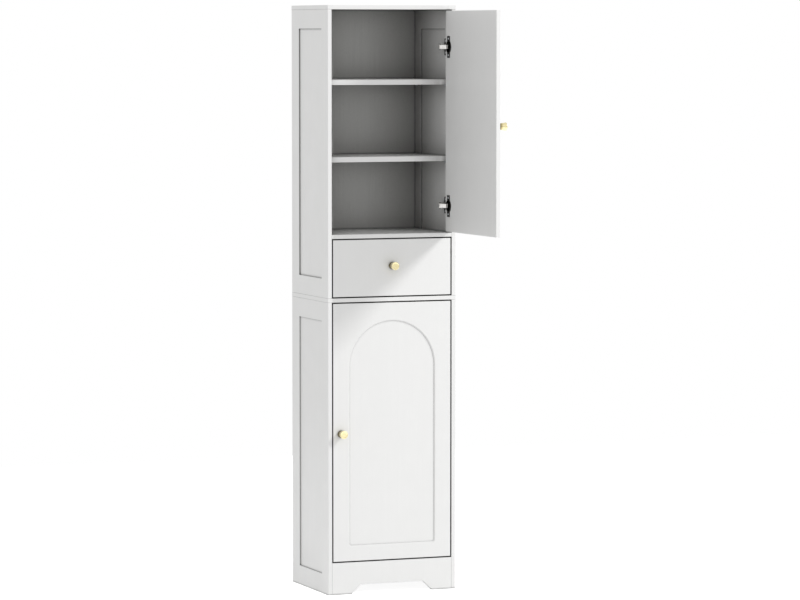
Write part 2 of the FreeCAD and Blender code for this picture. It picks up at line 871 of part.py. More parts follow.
def make_cup(label, level, *swings):
    """The cup: a shallow dish with a screw flange, and a pin for the link between two bosses."""
    body = new_body(label)
    dish = new_sketch(body, "XZ_Plane", "-board")
    draw_circle(dish, CUP_LINE, "0", "cup")
    pad(body, dish, "cup_sink")
    ring = new_sketch(body, "XZ_Plane", "-board")
    draw_circle(ring, CUP_LINE, "0", "cup_ring")
    pad(body, ring, "cup_wall", reverse=True)
    flange = new_sketch(body, "XZ_Plane", "-board")
    draw_rectangle(
        flange,
        CUP_LINE + " - cup_flange_wide / 2",
        "-cup_flange_tall / 2",
        "cup_flange_wide",
        "cup_flange_tall",
    )
    pad(body, flange, "cup_wall", reverse=True)
    hollow = new_sketch(body, "XZ_Plane", "-board - cup_wall")
    draw_circle(hollow, CUP_LINE, "0", "cup - 2 * cup_wall")
    pocket(body, hollow, "cup_sink", reverse=True)
    holes = new_sketch(body, "XZ_Plane", "-board - cup_wall")
    for side in ("-", ""):
        draw_circle(holes, CUP_LINE, side + "cup_screw_spread / 2", SCREW_HOLE)
    pocket(body, holes, "cup_wall", reverse=True)
    for side, reverse in (("-", True), ("", False)):
        boss = new_sketch(body, "XY_Plane", side + "cup_boss_spread / 2")
        draw_rectangle(
            boss, "cup_boss_inset", "cup_boss_sink", "cup_boss_wide", "board - cup_boss_sink"
        )
        pad(body, boss, "cup_pin_tall / 2 - cup_boss_spread / 2", reverse=reverse)
    pin = new_sketch(body, "XY_Plane")
    draw_circle(pin, "cup_pin_inset", "cup_pin_sink", "cup_pin")
    pad(body, pin, "cup_pin_tall", both_ways=True)
    seat_hinge(body, level, *swings)


def make_links(label, levels, *swings):
    """A door's two links: each has an eye on its cup's pin and an eye between the arm's ears."""
    body = new_body(label)
    web = "link_wall / 2"
    for level in levels:
        lift = f"{levels[0]} - ({level})"
        crank = new_sketch(body, "XY_Plane", lift)
        draw_outline(
            crank,
            [
                ("cup_pin_inset - " + web, "cup_pin_sink"),
                ("link_knee_inset - " + web, "link_knee_sink - " + web),
                ("link_end_inset", "link_end_sink - " + web),
                ("link_end_inset", "link_end_sink + " + web),
                ("link_knee_inset + " + web, "link_knee_sink + " + web),
                ("cup_pin_inset + " + web, "cup_pin_sink"),
            ],
        )
        pad(body, crank, "link_tall", both_ways=True)
        for x, y, tall in (
            ("cup_pin_inset", "cup_pin_sink", "link_tall"),
            ("link_end_inset", "link_end_sink", "arm_tall - 2 * arm_wall - 2 * link_end_gap"),
        ):
            ring = new_sketch(body, "XY_Plane", lift)
            draw_circle(ring, x, y, "link_eye")
            pad(body, ring, tall, both_ways=True)
            bore = new_sketch(body, "XY_Plane", lift)
            draw_circle(bore, x, y, "cup_pin + 2 * pin_gap")
            pocket(body, bore, tall, both_ways=True)
    seat_hinge(body, levels[0], *swings)


def cup_screw_spots(levels):
    """Seats of the screws of a door's cups, on the flanges of the shut door."""
    x, y = hinge_point(CUP_LINE, "board + cup_wall")
    return [(x, y, f"{p} {s} cup_screw_spread / 2", "-Y") for p in levels for s in "-+"]


for name, levels, swings in (("upper", UPPER_HINGES, [DOOR_OPEN]), ("lower", LOWER_HINGES, [])):
    for spot, level in zip(("bottom", "top"), levels):
        make_plate(f"{name}_{spot}_hinge_plate", level)
        make_arm(f"{name}_{spot}_hinge_arm", level)
        make_cup(f"{name}_{spot}_hinge_cup", level, *swings)
    link_swings = swings + [LINK_OPEN] if swings else []
    make_links(f"{name}_hinge_links", levels, *link_swings)
    make_screws(f"{name}_cup_screws", cup_screw_spots(levels), *swings)


# ---- drawer box ------------------------------------------------------------------------------

DRAWER_HALF = f"({INNER_HALF} - runner_gap)"
DRAWER_SIDE_LEVEL = "(runner_level + 3 * runner_wall)"
DRAWER_BASE_LEVEL = f"({DRAWER_SIDE_LEVEL} + drawer_base_lift)"
BASE_WIDTH = f"(2 * {DRAWER_HALF} - 2 * board + 2 * tongue)"

base_groove = new_sketch(drawer_front, "XZ_Plane", "-board")
draw_rectangle(
    base_groove,
    f"{FRONT_WIDTH} / 2 - {BASE_WIDTH} / 2 - slip",
    f"{DRAWER_BASE_LEVEL} - {DRAWER_FRONT_LEVEL} - slip",
    BASE_WIDTH + " + 2 * slip",
    "drawer_base + 2 * slip",
)
pocket(drawer_front, base_groove, "drawer_front_groove + slip", reverse=True)

for hand in ("left", "right"):
    mirrored = hand == "right"
    side = make_board(
        f"drawer_{hand}_side",
        "board",
        DRAWER_LENGTH,
        "drawer_side_tall",
        DRAWER_HALF + " - board" if mirrored else "-" + DRAWER_HALF,
        FRONT + " + board",
        DRAWER_SIDE_LEVEL,
    )
    groove = new_sketch(side, "XZ_Plane")
    draw_rectangle(
        groove,
        "0" if mirrored else "board - tongue - slip",
        "drawer_base_lift - slip",
        "tongue + slip",
        "drawer_base + 2 * slip",
    )
    pocket(side, groove, DRAWER_LENGTH)
    pilots = new_sketch(side, "YZ_Plane", "board" if mirrored else "0")
    for line in RUNNER_SCREW_LINES:
        height = f"{RUNNER_SCREW_LEVEL} - {DRAWER_SIDE_LEVEL}"
        draw_circle(pilots, line + " - board", height, SCREW_HOLE)
    pocket(side, pilots, "screw_grip + slip", reverse=not mirrored)

make_board(
    "drawer_back",
    f"2 * {DRAWER_HALF} - 2 * board",
    "board",
    "drawer_side_tall - drawer_base_lift - drawer_base - slip",
    f"-{DRAWER_HALF} + board",
    f"{FRONT} + {DRAWER_LENGTH}",
    DRAWER_BASE_LEVEL + " + drawer_base + slip",
)
make_board(
    "drawer_base_panel",
    BASE_WIDTH,
    DRAWER_LENGTH + " + drawer_front_groove",
    "drawer_base",
    f"-{BASE_WIDTH} / 2",
    FRONT + " + board - drawer_front_groove",
    DRAWER_BASE_LEVEL,
)


# ---- roller runners of the drawer ------------------------------------------------------------
# Each side has a member on the case, with the front roller, and a member on the drawer, with
# the rear roller.  Both are drawn from the side's inner face, along X into the case.

ROLLER_AXIS_LIFT = "(runner_wall + roller_gap + roller / 2)"
FLANGE_LIFT = "(runner_wall + 2 * roller_gap + roller)"
CASE_MEMBER_TALL = f"({FLANGE_LIFT} + 2 * runner_wall + runner_play)"
DRAWER_WEB = "(runner_gap - runner_wall)"
FRONT_ROLLER_LINE = "(roller_inset)"
REAR_ROLLER_LINE = f"({DRAWER_LENGTH} - roller_inset)"
CASE_ROLLER_X = "(runner_wall + roller_gap)"
DRAWER_ROLLER_X = f"({DRAWER_WEB} - roller_gap - roller_wide)"


def mirror(formula, hand):
    """A distance from the side's inner face, as an x of the left or the right hand."""
    return formula if hand == "left" or formula == "0" else f"-({formula})"


def seat_runner(body, hand):
    face = mirror("-" + INNER_HALF, hand)
    place(body, shift(face, FRONT + " + runner_setback", "runner_level"))


def make_member(label, hand, section, screw_face, pin_face, pin_line, pin_inwards):
    """A rolled steel strip with screw holes, and a riveted pin for its roller."""
    body = new_body(label)
    strip = new_sketch(body, "XZ_Plane")
    draw_outline(strip, [(mirror(x, hand), z) for x, z in section])
    pad(body, strip, DRAWER_LENGTH, reverse=True)

    along_x = (hand == "left") == pin_inwards
    holes = new_sketch(body, "YZ_Plane", mirror(screw_face, hand))
    for line in RUNNER_SCREW_LINES:
        draw_circle(holes, line + " - runner_setback", "runner_screw_lift", SCREW_HOLE)
    pocket(body, holes, "runner_wall", reverse=not along_x)

    pin_length = "roller_wide + 2 * roller_gap"
    for diameter, start, length in (
        ("roller_pin", "0", f"{pin_length} + roller_pin_head_wall"),
        ("roller_pin_head", pin_length, "roller_pin_head_wall"),
    ):
        sign = "+" if pin_inwards else "-"
        lift = mirror(f"{pin_face} {sign} ({start})", hand)
        pin = new_sketch(body, "YZ_Plane", lift)
        draw_circle(pin, pin_line, ROLLER_AXIS_LIFT, diameter)
        pad(body, pin, length, reverse=not along_x)
    seat_runner(body, hand)


def make_roller(label, hand, x, line):
    """A nylon roller that turns on its member's pin."""
    body = new_body(label)
    sketch = new_sketch(body, "YZ_Plane", mirror(x, hand))
    draw_circle(sketch, line, ROLLER_AXIS_LIFT, "roller")
    draw_circle(sketch, line, ROLLER_AXIS_LIFT, "roller_pin + 2 * pin_gap")
    pad(body, sketch, "roller_wide", reverse=hand == "right")
    seat_runner(body, hand)


case_section = [
    ("0", "0"),
    ("runner_track", "0"),
    ("runner_track", "runner_wall"),
    ("runner_wall", "runner_wall"),
    ("runner_wall", CASE_MEMBER_TALL + " - runner_wall"),
    ("runner_lip", CASE_MEMBER_TALL + " - runner_wall"),
    ("runner_lip", CASE_MEMBER_TALL),
    ("0", CASE_MEMBER_TALL),
]
drawer_section = [
    ("runner_wall + runner_flange_gap", FLANGE_LIFT),
    ("runner_wall + runner_flange_gap", FLANGE_LIFT + " + runner_wall"),
    ("runner_gap", FLANGE_LIFT + " + runner_wall"),
    ("runner_gap", "3 * runner_wall"),
    ("runner_gap + runner_grip", "3 * runner_wall"),
    ("runner_gap + runner_grip", "2 * runner_wall"),
    (DRAWER_WEB, "2 * runner_wall"),
    (DRAWER_WEB, FLANGE_LIFT),
]
for hand in ("left", "right"):
    make_member(
        f"case_{hand}_runner",
        hand,
        case_section,
        screw_face="runner_wall",
        pin_face="runner_wall",
        pin_line=FRONT_ROLLER_LINE,
        pin_inwards=True,
    )
    make_member(
        f"drawer_{hand}_runner",
        hand,
        drawer_section,
        screw_face=DRAWER_WEB,
        pin_face=DRAWER_WEB,
        pin_line=REAR_ROLLER_LINE,
        pin_inwards=False,
    )
    make_roller(f"front_{hand}_roller", hand, CASE_ROLLER_X, FRONT_ROLLER_LINE)
    make_roller(f"rear_{hand}_roller", hand, DRAWER_ROLLER_X, REAR_ROLLER_LINE)


# ---- wood screws of the hinge plates and runners ---------------------------------------------


def runner_screw_spots(distance, outwards):
    """Seats of the screws of a pair of members, at a distance from the sides' inner faces."""
    spots = []
    for sign, direction in (("-", "-X" if outwards else "+X"), ("", "+X" if outwards else "-X")):
        for line in RUNNER_SCREW_LINES:
            x = f"{sign}({INNER_HALF} - {distance})"
            spots.append((x, f"{FRONT} + {line}", RUNNER_SCREW_LEVEL, direction))
    return spots


plate_x, plate_y = hinge_point("plate_wall", "plate_line")
plate_screw_spots = [
    (plate_x, plate_y, f"{level} {side} plate_screw_spread / 2", "+X")
    for level in UPPER_HINGES + LOWER_HINGES
    for side in "-+"
]
make_screws("case_wood_screws", plate_screw_spots + runner_screw_spots("runner_wall", True))
make_screws("drawer_runner_screws", runner_screw_spots(DRAWER_WEB, False))


# ---- check and write -------------------------------------------------------------------------

doc.recompute()
for thing in doc.Objects:
    if "Invalid" in thing.State or "Error" in thing.State:
        raise ValueError(f"{thing.Label} failed: {thing.State}")

os.makedirs("parts", exist_ok=True)
for piece in parts:
    if piece.Shape.isNull() or not piece.Shape.isValid():
        raise ValueError(f"{piece.Label} has no valid shape")
for piece in parts:
    piece.Shape.exportStep(f"parts/{piece.Label}.step")
print(f"{len(parts)} pieces written")
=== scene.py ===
import json
import math

import bpy
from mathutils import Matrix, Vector


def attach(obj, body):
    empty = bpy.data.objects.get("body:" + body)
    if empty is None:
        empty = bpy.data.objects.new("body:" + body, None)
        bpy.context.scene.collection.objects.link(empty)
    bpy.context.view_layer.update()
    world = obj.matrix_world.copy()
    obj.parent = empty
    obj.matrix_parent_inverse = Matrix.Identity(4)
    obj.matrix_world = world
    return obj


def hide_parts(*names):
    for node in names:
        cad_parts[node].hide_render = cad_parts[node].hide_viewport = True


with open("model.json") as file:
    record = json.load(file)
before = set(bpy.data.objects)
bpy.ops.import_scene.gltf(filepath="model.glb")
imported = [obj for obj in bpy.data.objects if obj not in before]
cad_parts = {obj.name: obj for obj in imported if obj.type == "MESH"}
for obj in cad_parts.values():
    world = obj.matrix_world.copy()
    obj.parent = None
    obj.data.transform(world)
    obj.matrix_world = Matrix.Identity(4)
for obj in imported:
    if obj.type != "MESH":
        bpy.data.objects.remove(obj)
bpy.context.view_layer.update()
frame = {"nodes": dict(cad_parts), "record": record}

# A tall white cabinet: two doors, a drawer, turned brass knobs and concealed hinges.
# Blender's units are metres, as in the frame; the sizes below are in millimetres times mm.
mm = 0.001

camera = {
    "place": (-3.8145, -10.3235, 1.6207),   # metres
    "turn": (86.021, 0, -21.355),           # degrees
    "lens": 172.86,
    "sensor": 36,
}
bpy.ops.object.camera_add(
    location=camera["place"], rotation=[math.radians(a) for a in camera["turn"]]
)
bpy.context.object.data.lens = camera["lens"]
bpy.context.object.data.sensor_width = camera["sensor"]
bpy.context.scene.camera = bpy.context.object
print("camera placed")


def toLinear(code):
    # sRGB hex to linear red, green, blue, alpha
    parts = [int(code[i:i + 2], 16) / 255 for i in (1, 3, 5)]
    return [p / 12.92 if p <= 0.04045 else ((p + 0.055) / 1.055) ** 2.4 for p in parts] + [1]


def addNode(tree, kind, inputs=None, **settings):
    # an input is a value, a socket, or a node, which gives its first output in use
    made = tree.nodes.new("ShaderNode" + kind)
    for name, value in settings.items():
        setattr(made, name, value)
    for socket, value in (inputs or {}).items():
        if isinstance(value, bpy.types.Node):
            value = next(output for output in value.outputs if output.enabled)
        if isinstance(value, bpy.types.NodeSocket):
            tree.links.new(value, made.inputs[socket])
        else:
            made.inputs[socket].default_value = value
    return made


# where the values of a noise mostly lie, of one alone and of two added
oneNoise = {"From Min": 0.35, "From Max": 0.65}
twoGrains = {"From Min": 0.75, "From Max": 1.25}
twoNoises = {"From Min": 0.7, "From Max": 1.3}
# the dot product of the rounded normal and the face's own, from an even face to a rounded edge
edgeTurn = {"From Min": 0.995, "From Max": 0.86}


def startMaterial(look):
    material = bpy.data.materials.new(look["name"])
    material.use_nodes = True
    material.node_tree.nodes.clear()
    return material, material.node_tree


def endMaterial(tree, look, layers, gloss, height, soft):
    # colours laid one over the other, then roughness and relief; fixed values go on the shader
    body = toLinear(look["colour"])
    for share, name in layers:
        body = addNode(
            tree, "Mix", {0: share, 6: body, 7: toLinear(look[name])}, data_type="RGBA"
        )
    rough = addNode(
        tree, "MapRange",
        {"Value": gloss, **twoNoises,
         "To Min": look["roughness"][0], "To Max": look["roughness"][1]},
    )
    bump = addNode(
        tree, "Bump",
        {"Strength": look["reliefStrength"], "Distance": look["relief"] * mm,
         "Height": height, "Normal": soft},
    )
    shader = addNode(
        tree, "BsdfPrincipled",
        {**look["fixed"], "Base Color": body, "Roughness": rough, "Normal": bump},
    )
    addNode(tree, "OutputMaterial", {"Surface": shader})


def edgesAndSeamShade(tree, look, patches):
    # a share for lighter edges, a painted highlight on the boards and wear on the black nickel,
    # one for painted shade in the seams and gaps, and the normal rounded at the edges
    soft = addNode(tree, "Bevel", {"Radius": look["edgeRound"] * mm}, samples=6)
    flat = addNode(tree, "NewGeometry").outputs["Normal"]
    facing = addNode(tree, "VectorMath", {0: soft, 1: flat}, operation="DOT_PRODUCT")
    edge = addNode(tree, "MapRange", {"Value": facing, **edgeTurn})
    # the lighter edge is half as strong where the patches are dark
    patch = addNode(
        tree, "MapRange",
        {"Value": patches, "From Min": 0.3, "From Max": 0.7, "To Min": 0.5, "To Max": 1},
    )
    wornAndLitEdge = addNode(tree, "Math", {0: edge, 1: patch}, operation="MULTIPLY")
    # painted shade: darker where a seam or gap shuts a place in
    seamShade = shelteredShare(tree, look["seamReach"], look["seamSpan"], look["seamShare"])
    return wornAndLitEdge, seamShade, soft


def shelteredShare(tree, reach, span, share):
    # how far a place is shut in by what stands within reach, in mm: 0 in the open, up to share.
    # The finishes paint shade with it
    shut = addNode(tree, "AmbientOcclusion", {"Distance": reach * mm}, samples=8).outputs["AO"]
    return addNode(
        tree, "MapRange",
        {"Value": shut, "From Min": span[0], "From Max": span[1], "To Max": share},
    )


def makeBoardFinish(look):
    # a pale coated board: faint grain streaks, a slight mottle and orange peel, with painted shade
    # inside the case and in the seams and a painted highlight on its edges
    material, tree = startMaterial(look)
    place = addNode(tree, "TexCoord").outputs["Object"]
    grains = []
    for size in (look["fineGrain"], look["broadGrain"]):
        along = addNode(tree, "Mapping", {"Vector": place, "Scale": [1 / (s * mm) for s in size]})
        grains.append(addNode(tree, "TexNoise", {"Vector": along, "Scale": 1, "Detail": 3}))
    grain = addNode(tree, "Math", {0: grains[0], 1: grains[1]}, operation="ADD")
    streak = addNode(tree, "MapRange", {"Value": grain, **twoGrains})
    mottle = addNode(
        tree, "TexNoise", {"Vector": place, "Scale": 1 / (look["mottle"] * mm), "Detail": 3}
    )
    cloud = addNode(tree, "MapRange", {"Value": mottle, **oneNoise})
    peel = addNode(
        tree, "TexNoise", {"Vector": place, "Scale": 1 / (look["peel"] * mm), "Detail": 1}
    )
    wornAndLitEdge, seamShade, soft = edgesAndSeamShade(tree, look, mottle)
    # painted shade: the white darkens the further it lies inside the case
    deep = shelteredShare(tree, look["deepShadeReach"], look["deepShadeSpan"], look["deepShadeShare"])
    # over the grain and mottle: painted shade deep in the case, painted shade in the seams, and a
    # painted highlight on the edges
    layers = (
        (streak, "streakColour"), (cloud, "mottleColour"), (deep, "deepShadeColour"),
        (seamShade, "seamShadeColour"), (wornAndLitEdge, "edgeColour"),
    )
    gloss = addNode(tree, "Math", {0: mottle, 1: peel}, operation="ADD")
    height = addNode(
        tree, "Math", {0: peel, 1: look["peelShare"], 2: grains[0]}, operation="MULTIPLY_ADD"
    )
    endMaterial(tree, look, layers, gloss, height, soft)
    return material


def makeMetalFinish(look):
    # plated, coated or moulded: fine grit, a cloudy gloss and faint lines of the tool, lighter
    # edges and painted shade in the seams
    material, tree = startMaterial(look)
    place = addNode(tree, "TexCoord").outputs["Object"]
    cloud = addNode(
        tree, "TexNoise", {"Vector": place, "Scale": 1 / (look["cloud"] * mm), "Detail": 3}
    )
    grit = addNode(
        tree, "TexNoise", {"Vector": place, "Scale": 1 / (look["grit"] * mm), "Detail": 2}
    )
    along = addNode(
        tree, "Mapping", {"Vector": place, "Scale": [1 / (s * mm) for s in look["lines"]]}
    )
    lines = addNode(tree, "TexNoise", {"Vector": along, "Scale": 1, "Detail": 2})
    patch = addNode(tree, "MapRange", {"Value": cloud, **oneNoise})
    wornAndLitEdge, seamShade, soft = edgesAndSeamShade(tree, look, cloud)
    # over the cloud: painted shade in the seams, then the lighter edges
    layers = ((patch, "cloudColour"), (seamShade, "seamShadeColour"), (wornAndLitEdge, "edgeColour"))
    gloss = addNode(tree, "Math", {0: cloud, 1: lines}, operation="ADD")
    height = addNode(tree, "Math", {0: grit, 1: lines}, operation="ADD")
    endMaterial(tree, look, layers, gloss, height, soft)
    return material


def makeBrass(look):
    # rings follow the profile through the piece's own attribute, in millimetres along it
    material, tree = startMaterial(look)
    along = addNode(tree, "Attribute", attribute_name="turning").outputs["Fac"]
    place = addNode(tree, "TexCoord").outputs["Object"]
    ring = addNode(
        tree, "TexNoise", {"W": along, "Scale": 1 / look["ringPitch"], "Detail": 2},
        noise_dimensions="1D",
    )
    cloud = addNode(
        tree, "TexNoise", {"Vector": place, "Scale": 1 / (look["cloud"] * mm), "Detail": 3}
    )
    patch = addNode(tree, "MapRange", {"Value": cloud, **oneNoise})
    start, end = look["recess"]
    # darker in the neck, along the profile: tarnish and painted shade
    neckTarnishAndShade = addNode(
        tree, "MapRange",
        {"Value": along, "From Min": start, "From Max": end, "To Min": 1, "To Max": 0},
    )
    wornAndLitEdge, seamShade, soft = edgesAndSeamShade(tree, look, cloud)
    layers = (
        (patch, "cloudColour"), (neckTarnishAndShade, "recessColour"),
        (seamShade, "seamShadeColour"), (wornAndLitEdge, "edgeColour"),
    )
    gloss = addNode(tree, "Math", {0: ring, 1: cloud}, operation="ADD")
    endMaterial(tree, look, layers, gloss, ring, soft)
    return material


# grain widths and lengths in mm along X, Y and Z: boards that stand, and boards that lie
uprightFine, uprightBroad = (1.6, 1.6, 90), (9, 9, 420)
levelFine, levelBroad = (90, 1.6, 1.6), (420, 9, 9)

# fibreboard, primed, sprayed with satin white lacquer: an even soft sheen with faint streaks
lacqueredBoard = {
    "name": "lacqueredFibreboard",
    "fixed": {"IOR": 1.5, "Metallic": 0.0, "Coat Weight": 0.08, "Coat Roughness": 0.3},
    "colour": "#F0F0EF", "streakColour": "#EEEEED", "mottleColour": "#EEEEED",
    # the lighter edge colour is a painted highlight along the rounded edges
    "edgeColour": "#F8F8F7", "edgeRound": 0.6,
    # the near-black seam colour is painted shade in the seams and gaps
    "seamShadeColour": "#2B2A29", "seamReach": 7, "seamSpan": (0.95, 0.25), "seamShare": 1,
    # this stands in for shade and is no property of real lacquer: the even light leaves the
    # inside of the case too pale, so the finish itself darkens where it is shut in
    "deepShadeColour": "#7C7B79", "deepShadeReach": 170, "deepShadeSpan": (0.85, 0.3), "deepShadeShare": 0.9,
    "fineGrain": uprightFine, "broadGrain": uprightBroad, "mottle": 60,
    "peel": 1.4, "peelShare": 0.6,   # real orange peel, about a millimetre and a half across
    "roughness": (0.34, 0.46), "relief": 0.06, "reliefStrength": 0.5,
}
# the same lacquer on boards that lie flat, with its streaks running from side to side
lacqueredLevelBoard = dict(
    lacqueredBoard, name="lacqueredFibreboardLevel", fineGrain=levelFine, broadGrain=levelBroad
)
# and on fronts and lower sides, without the stand-in for shade, which would take the floor
# for a wall close by and darken them
lacqueredFront = dict(lacqueredBoard, name="lacqueredFibreboardFront", deepShadeShare=0)
# thin hardboard, white on one face: flatter and duller, with a pressed pebble
lacqueredHardboard = dict(
    lacqueredBoard, name="lacqueredHardboard",
    fixed={"IOR": 1.48, "Metallic": 0.0},
    colour="#E4E4E2", streakColour="#DBDBD9", mottleColour="#DFDFDD", edgeColour="#EAEAE8",
    roughness=(0.5, 0.62), peel=2.2, relief=0.09,
)
# chipboard under printed melamine foil: slightly warmer, with a pearl texture
foiledChipboard = dict(
    lacqueredBoard, name="foiledChipboard",
    fixed={"IOR": 1.5, "Metallic": 0.0},
    colour="#E3E2DE", streakColour="#DBDAD6", mottleColour="#DEDDD9",
    roughness=(0.42, 0.56), peel=0.9, relief=0.05,
    fineGrain=(2.2, 120, 2.2), broadGrain=(14, 600, 14),
)
# fluted beech dowel, sawn and turned: pinkish brown with short darker flecks along its length
turnedBeech = dict(
    lacqueredBoard, name="turnedBeech",
    fixed={"IOR": 1.45, "Metallic": 0.0},
    colour="#D8B183", streakColour="#BE9264", mottleColour="#CBA172", edgeColour="#E2C298",
    fineGrain=(0.7, 0.7, 14), broadGrain=(3, 3, 60), mottle=12,
    roughness=(0.55, 0.7), peel=0.6, relief=0.08,
)
# steel pressed from strip and nickel plated: bright, with soft cloudy reflections
nickelPlatedSteel = {
    "name": "nickelPlatedSteel",
    "fixed": {"Metallic": 1.0},
    "colour": "#F2F1EE", "cloudColour": "#EAE8E4", "edgeColour": "#F8F8F6",
    # the dark seam colour is painted shade where seams and gaps shut a place in
    "seamShadeColour": "#3C3A36", "seamReach": 1.5, "seamSpan": (0.8, 0.2), "seamShare": 0.6,
    "cloud": 7, "grit": 0.5, "lines": (12, 12, 0.5), "edgeRound": 0.35,
    "roughness": (0.34, 0.46), "relief": 0.02, "reliefStrength": 0.35,
}
# the same steel plated with black nickel: dark, nearly neutral, paler where edges have rubbed
blackNickelPlatedSteel = dict(
    nickelPlatedSteel, name="blackNickelPlatedSteel",
    colour="#323130", cloudColour="#2A2928", edgeColour="#6E6C69", seamShadeColour="#141413",
    roughness=(0.3, 0.44),
)
# steel wire and screws, zinc plated and blue passivated: greyer and more matt than nickel
zincPlatedSteel = dict(
    nickelPlatedSteel, name="zincPlatedSteel",
    colour="#D3D6D9", cloudColour="#C5C9CE", edgeColour="#E6E8EA",
    cloud=3, grit=0.35, lines=(0.6, 9, 9), roughness=(0.3, 0.46),
)
# rolled steel runners with white powder coat: a fine pebble that breaks the shine
powderCoatedSteel = {
    "name": "powderCoatedSteel",
    "fixed": {"Metallic": 0.0, "IOR": 1.52},
    "colour": "#DEDEDB", "cloudColour": "#D6D6D3", "edgeColour": "#ECECEA",
    # the darker seam colour is painted shade where seams and gaps shut a place in
    "seamShadeColour": "#6A6966", "seamReach": 4, "seamSpan": (0.9, 0.4), "seamShare": 0.7,
    "cloud": 20, "grit": 0.9, "lines": (4, 60, 4), "edgeRound": 0.4,
    "roughness": (0.38, 0.5), "relief": 0.05, "reliefStrength": 0.6,
}
# injection moulded nylon: milky and dull, with a fine spark-eroded texture
mouldedNylon = dict(
    powderCoatedSteel, name="mouldedNylon",
    fixed={"Metallic": 0.0, "IOR": 1.53, "Subsurface Weight": 0.15, "Subsurface Scale": 0.002},
    colour="#E6E5DF", cloudColour="#DEDDD6", edgeColour="#F0EFEA",
    cloud=5, grit=0.4, lines=(3, 3, 3), roughness=(0.45, 0.6),
)
# solid brass, turned on a lathe, satin brushed and lacquered: pale gold, with fine rings of
# the tool, and a darker brown in the neck that is some tarnish and painted shade
turnedBrass = {
    "name": "turnedBrass",
    "fixed": {"Metallic": 1.0, "Coat Weight": 0.2, "Coat Roughness": 0.2},
    "colour": "#EADFB3", "cloudColour": "#E2D4A2", "recessColour": "#6E6238",
    "edgeColour": "#FAF2D2", "edgeRound": 0.5, "cloud": 6,
    # the dark seam colour is painted shade where seams and gaps shut a place in
    "seamShadeColour": "#4A4022", "seamReach": 4, "seamSpan": (0.9, 0.4), "seamShare": 0.8,
    "ringPitch": 0.45,        # real tool marks are finer; this coarse they still show
    "recess": (8, 17),        # mm along the profile, from dark in the neck to clean
    "roughness": (0.2, 0.34), "relief": 0.03, "reliefStrength": 0.4,
}

finishes = {
    "painted_board": makeBoardFinish(lacqueredBoard),
    "painted_back": makeBoardFinish(lacqueredHardboard),
    "drawer_box": makeBoardFinish(foiledChipboard),
    "beech": makeBoardFinish(turnedBeech),
    "brass": makeBrass(turnedBrass),
    "nickel_steel": makeMetalFinish(nickelPlatedSteel),
    "dark_nickel_steel": makeMetalFinish(blackNickelPlatedSteel),
    "zinc_steel": makeMetalFinish(zincPlatedSteel),
    "coated_steel": makeMetalFinish(powderCoatedSteel),
    "nylon": makeMetalFinish(mouldedNylon),
}
boardFinishes = dict.fromkeys(
    ("top_board", "middle_board", "drawer_roof", "floor_board", "rear_plinth",
     "high_shelf", "low_shelf", "lower_shelf"),
    makeBoardFinish(lacqueredLevelBoard),
)
boardFinishes.update(dict.fromkeys(
    ("lower_door", "drawer_front", "front_plinth", "lower_left_frame", "lower_right_frame",
     "lower_left_infill", "lower_right_infill"),
    makeBoardFinish(lacqueredFront),
))
for part in frame["record"]["subparts"]:
    name = part["node"]
    finish = boardFinishes.get(name, finishes[part["material_slot"]])
    for slot in frame["nodes"][name].material_slots:
        slot.material = finish
print("materials made")


def selectOnly(piece):
    bpy.ops.object.select_all(action="DESELECT")
    piece.select_set(True)
    bpy.context.view_layer.objects.active = piece


def turnPiece(name, profile, sides):
    # a circle is drawn out along Z and sized at each step; profile is (radius, height) in mm
    radius, height = profile[0]
    bpy.ops.object.select_all(action="DESELECT")
    bpy.ops.mesh.primitive_circle_add(
        vertices=sides, radius=radius * mm, fill_type="NGON", location=(0, 0, height * mm)
    )
    piece = bpy.context.object
    piece.name = name
    bpy.ops.object.mode_set(mode="EDIT")
    bpy.ops.mesh.select_all(action="SELECT")
    for nextRadius, nextHeight in profile[1:]:
        bpy.ops.mesh.extrude_region_move(
            TRANSFORM_OT_translate={"value": (0, 0, (nextHeight - height) * mm)}
        )
        growth = nextRadius / radius
        bpy.ops.transform.resize(
            value=(growth, growth, 1), center_override=(0, 0, nextHeight * mm)
        )
        radius, height = nextRadius, nextHeight
    bpy.ops.mesh.select_all(action="SELECT")
    bpy.ops.mesh.normals_make_consistent(inside=False)
    bpy.ops.object.mode_set(mode="OBJECT")
    bpy.ops.object.transform_apply(location=True, rotation=True, scale=True)
    return piece


def markTurning(piece, profile):
    # each vertex gets its distance along the profile, in mm, for the rings of the brass
    walked = [0.0]
    for (r0, z0), (r1, z1) in zip(profile, profile[1:]):
        walked.append(walked[-1] + math.hypot(r1 - r0, z1 - z0))
    mark = piece.data.attributes.new("turning", "FLOAT", "POINT")
    for vertex, value in zip(piece.data.vertices, mark.data):
        radius = math.hypot(vertex.co.x, vertex.co.y) / mm
        height = vertex.co.z / mm
        gaps = [math.hypot(radius - r, height - z) for r, z in profile]
        value.value = walked[gaps.index(min(gaps))]


crossFoot = 0.55     # how wide a cross recess is at its foot, where it is 1 at the top
alike = 0.9          # a normal whose share along an axis is over this points along it


